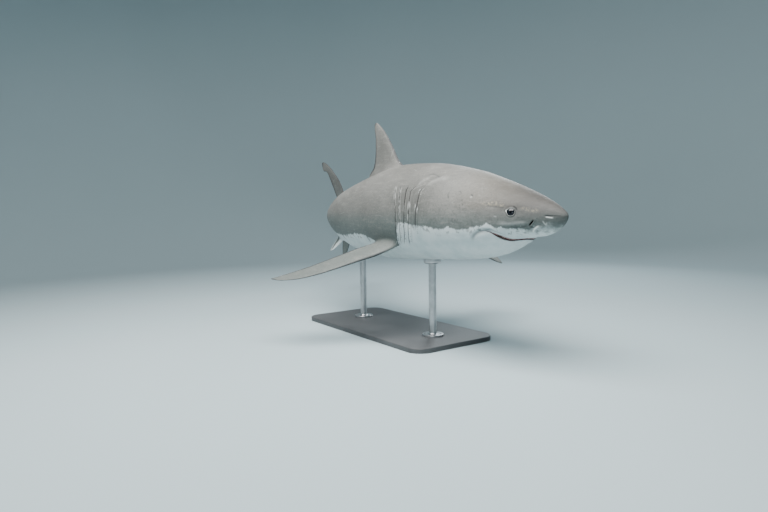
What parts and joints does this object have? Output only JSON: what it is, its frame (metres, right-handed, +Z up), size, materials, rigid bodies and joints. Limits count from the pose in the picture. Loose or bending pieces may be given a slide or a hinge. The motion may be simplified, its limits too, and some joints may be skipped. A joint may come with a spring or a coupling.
{
  "type": "life-size great white shark model",
  "caption": "Still life-size great white shark swimming with its tail swung to one side and jaws almost closed, held by rods on a flat display base.",
  "frame": {"origin": "middle of the stand base's underside, on the floor", "axes": "+X towards the snout, +Y to the shark's left, +Z up"},
  "size_m": [3.8196, 1.973, 1.5778],
  "materials": {
    "skin": "grey-brown back shading to white belly, fine satin denticle skin, slightly wet sheen",
    "fin": "grey fin skin, darker at edges and tips, satin",
    "jaw": "white throat and lip skin, satin, with ivory teeth and pink gum",
    "eye": "black glossy eyeball",
    "stand_base": "dark powder-coated plate, fine texture",
    "stand_rod": "turned and brushed steel"
  },
  "bodies": {
    "root": {"head": "skin", "lower_jaw": "jaw", "eye_left": "eye", "eye_right": "eye", "trunk": "skin", "tail": "skin", "dorsal_fin_first": "fin", "dorsal_fin_second": "fin", "anal_fin": "fin", "pectoral_fin_left": "fin", "pectoral_fin_right": "fin", "pelvic_fin_left": "fin", "pelvic_fin_right": "fin", "caudal_fin_upper": "fin", "caudal_fin_lower": "fin", "stand_base": "stand_base", "stand_rod_front": "stand_rod", "stand_rod_rear": "stand_rod"}
  },
  "joints": []
}
